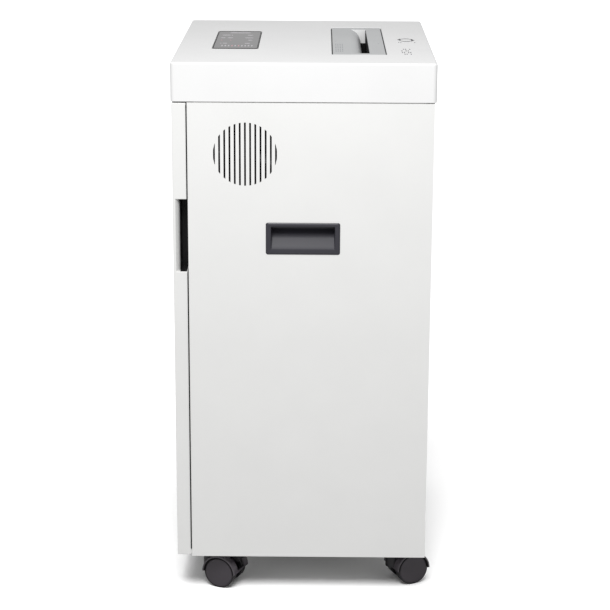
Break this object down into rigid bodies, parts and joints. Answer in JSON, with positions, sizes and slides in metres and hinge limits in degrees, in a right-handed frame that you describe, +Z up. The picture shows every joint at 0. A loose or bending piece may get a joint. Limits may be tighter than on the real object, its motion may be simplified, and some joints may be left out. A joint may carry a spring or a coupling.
{
  "type": "paper shredder",
  "caption": "White cabinet paper shredder on twin-wheel casters, with a pull-out bin drawer, a slot in the top, a control panel and recessed side grips.",
  "frame": {"origin": "on the floor under the centre of the machine's bounding box", "axes": "+Z up; -Y is the drawer's side, which is the front; +X is the user's right as they face the front"},
  "size_m": [0.4, 0.3264, 0.67],
  "materials": {
    "white_coat": "satin white powder coat",
    "white_cover": "fine satin moulding",
    "silver_plastic": "silver-grey satin",
    "dark_glass": "polished dark touch panel",
    "grip_grey": "dark grey satin",
    "zinc_steel": "zinc plated",
    "cutter_steel": "machined",
    "black_plastic": "satin",
    "bin_plastic": "fine grained",
    "caster_plastic": "satin",
    "wheel_nylon": "satin",
    "circuit_board": "solder mask"
  },
  "bodies": {
    "cabinet": {"base_panel": "white_coat", "side_panel_right": "white_coat", "side_panel_left": "white_coat", "back_panel": "white_coat", "head_deck": "zinc_steel", "carry_grip_right": "grip_grey", "carry_grip_left": "grip_grey", "top_cover": "white_cover", "throat_insert": "silver_plastic", "control_panel": "dark_glass", "control_board": "circuit_board", "cutter_frame_left": "zinc_steel", "cutter_frame_right": "zinc_steel", "stripper_comb_front": "black_plastic", "stripper_comb_rear": "black_plastic", "motor_body": "cutter_steel", "fan_frame": "black_plastic", "power_inlet": "black_plastic", "slide_outer_left": "zinc_steel", "slide_outer_right": "zinc_steel", "magnet_catch": "black_plastic", "caster_plate_front_right": "zinc_steel", "caster_plate_rear_right": "zinc_steel", "caster_plate_front_left": "zinc_steel", "caster_plate_rear_left": "zinc_steel"},
    "drawer": {"front_panel": "white_coat", "front_liner": "white_coat", "drawer_tray": "zinc_steel", "waste_bin": "bin_plastic", "slide_inner_left": "zinc_steel", "slide_inner_right": "zinc_steel"},
    "slide_carriage_right": {"slide_middle_right": "zinc_steel"},
    "slide_carriage_left": {"slide_middle_left": "zinc_steel"},
    "cutter_front": {"cutter_shaft_front": "cutter_steel", "sync_gear_front": "cutter_steel", "drive_gear": "cutter_steel"},
    "cutter_rear": {"cutter_shaft_rear": "cutter_steel", "sync_gear_rear": "cutter_steel"},
    "idler": {"idler_gear": "cutter_steel"},
    "rotor": {"motor_rotor": "cutter_steel"},
    "fan": {"fan_rotor": "black_plastic"},
    "rocker": {"switch_rocker": "black_plastic"},
    "caster_front_right": {"caster_hood_front_right": "caster_plastic", "caster_axle_front_right": "zinc_steel"},
    "wheel_front_right_right": {"caster_wheel_front_right_right": "wheel_nylon"},
    "wheel_front_right_left": {"caster_wheel_front_right_left": "wheel_nylon"},
    "brake_front_right": {"brake_pedal_front_right": "caster_plastic"},
    "caster_rear_right": {"caster_hood_rear_right": "caster_plastic", "caster_axle_rear_right": "zinc_steel"},
    "wheel_rear_right_right": {"caster_wheel_rear_right_right": "wheel_nylon"},
    "wheel_rear_right_left": {"caster_wheel_rear_right_left": "wheel_nylon"},
    "caster_front_left": {"caster_hood_front_left": "caster_plastic", "caster_axle_front_left": "zinc_steel"},
    "wheel_front_left_right": {"caster_wheel_front_left_right": "wheel_nylon"},
    "wheel_front_left_left": {"caster_wheel_front_left_left": "wheel_nylon"},
    "brake_front_left": {"brake_pedal_front_left": "caster_plastic"},
    "caster_rear_left": {"caster_hood_rear_left": "caster_plastic", "caster_axle_rear_left": "zinc_steel"},
    "wheel_rear_left_right": {"caster_wheel_rear_left_right": "wheel_nylon"},
    "wheel_rear_left_left": {"caster_wheel_rear_left_left": "wheel_nylon"}
  },
  "joints": [
    {"name": "drawer_slide", "type": "slide", "parent": "cabinet", "child": "drawer", "axis": [0, -1, 0], "range_m": [0, 0.25]},
    {"name": "carriage_right_slide", "type": "slide", "parent": "cabinet", "child": "slide_carriage_right", "axis": [0, -1, 0], "range_m": [0, 0.125]},
    {"name": "carriage_left_slide", "type": "slide", "parent": "cabinet", "child": "slide_carriage_left", "axis": [0, -1, 0], "range_m": [0, 0.125]},
    {"name": "cutter_front_spin", "type": "hinge", "parent": "cabinet", "child": "cutter_front", "pos_m": [0, 0.057, 0.59], "axis": [1, 0, 0], "continuous": true},
    {"name": "cutter_rear_spin", "type": "hinge", "parent": "cabinet", "child": "cutter_rear", "pos_m": [0, 0.091, 0.59], "axis": [1, 0, 0], "continuous": true},
    {"name": "idler_spin", "type": "hinge", "parent": "cabinet", "child": "idler", "pos_m": [0, 0.0085, 0.562], "axis": [1, 0, 0], "continuous": true},
    {"name": "motor_spin", "type": "hinge", "parent": "cabinet", "child": "rotor", "pos_m": [0, -0.035, 0.562], "axis": [1, 0, 0], "continuous": true},
    {"name": "fan_spin", "type": "hinge", "parent": "cabinet", "child": "fan", "pos_m": [0.182, -0.0688, 0.5614], "axis": [1, 0, 0], "continuous": true},
    {"name": "power_switch", "type": "hinge", "parent": "cabinet", "child": "rocker", "pos_m": [-0.15, 0.1503, 0.597], "axis": [1, 0, 0], "range_deg": [-20, 0]},
    {"name": "caster_front_right_swivel", "type": "hinge", "parent": "cabinet", "child": "caster_front_right", "pos_m": [0.1565, -0.116, 0.04], "axis": [0, 0, 1], "continuous": true},
    {"name": "wheel_front_right_right_spin", "type": "hinge", "parent": "caster_front_right", "child": "wheel_front_right_right", "pos_m": [0.16399, -0.09746, 0.02], "axis": [0.9272, -0.3746, 0], "continuous": true},
    {"name": "wheel_front_right_left_spin", "type": "hinge", "parent": "caster_front_right", "child": "wheel_front_right_left", "pos_m": [0.16399, -0.09746, 0.02], "axis": [0.9272, -0.3746, 0], "continuous": true},
    {"name": "brake_front_right_press", "type": "hinge", "parent": "caster_front_right", "child": "brake_front_right", "pos_m": [0.16399, -0.09746, 0.0403], "axis": [0.9272, -0.3746, 0], "range_deg": [-12, 0]},
    {"name": "caster_rear_right_swivel", "type": "hinge", "parent": "cabinet", "child": "caster_rear_right", "pos_m": [0.1565, 0.116, 0.04], "axis": [0, 0, 1], "continuous": true},
    {"name": "wheel_rear_right_right_spin", "type": "hinge", "parent": "caster_rear_right", "child": "wheel_rear_right_right", "pos_m": [0.14869, 0.13441, 0.02], "axis": [0.9205, 0.3907, 0], "continuous": true},
    {"name": "wheel_rear_right_left_spin", "type": "hinge", "parent": "caster_rear_right", "child": "wheel_rear_right_left", "pos_m": [0.14869, 0.13441, 0.02], "axis": [0.9205, 0.3907, 0], "continuous": true},
    {"name": "caster_front_left_swivel", "type": "hinge", "parent": "cabinet", "child": "caster_front_left", "pos_m": [-0.1565, -0.116, 0.04], "axis": [0, 0, 1], "continuous": true},
    {"name": "wheel_front_left_right_spin", "type": "hinge", "parent": "caster_front_left", "child": "wheel_front_left_right", "pos_m": [-0.14869, -0.13441, 0.02], "axis": [-0.9205, -0.3907, 0], "continuous": true},
    {"name": "wheel_front_left_left_spin", "type": "hinge", "parent": "caster_front_left", "child": "wheel_front_left_left", "pos_m": [-0.14869, -0.13441, 0.02], "axis": [-0.9205, -0.3907, 0], "continuous": true},
    {"name": "brake_front_left_press", "type": "hinge", "parent": "caster_front_left", "child": "brake_front_left", "pos_m": [-0.14869, -0.13441, 0.0403], "axis": [-0.9205, -0.3907, 0], "range_deg": [-12, 0]},
    {"name": "caster_rear_left_swivel", "type": "hinge", "parent": "cabinet", "child": "caster_rear_left", "pos_m": [-0.1565, 0.116, 0.04], "axis": [0, 0, 1], "continuous": true},
    {"name": "wheel_rear_left_right_spin", "type": "hinge", "parent": "caster_rear_left", "child": "wheel_rear_left_right", "pos_m": [-0.15032, 0.13502, 0.02], "axis": [0.9511, -0.309, 0], "continuous": true},
    {"name": "wheel_rear_left_left_spin", "type": "hinge", "parent": "caster_rear_left", "child": "wheel_rear_left_left", "pos_m": [-0.15032, 0.13502, 0.02], "axis": [0.9511, -0.309, 0], "continuous": true}
  ],
  "couplings": [
    {"joint": "carriage_right_slide", "follows": "drawer_slide", "ratio": 0.5},
    {"joint": "carriage_left_slide", "follows": "drawer_slide", "ratio": 0.5},
    {"joint": "cutter_rear_spin", "follows": "cutter_front_spin", "ratio": -1},
    {"joint": "idler_spin", "follows": "cutter_front_spin", "ratio": -3.6667},
    {"joint": "motor_spin", "follows": "cutter_front_spin", "ratio": 17.6}
  ]
}
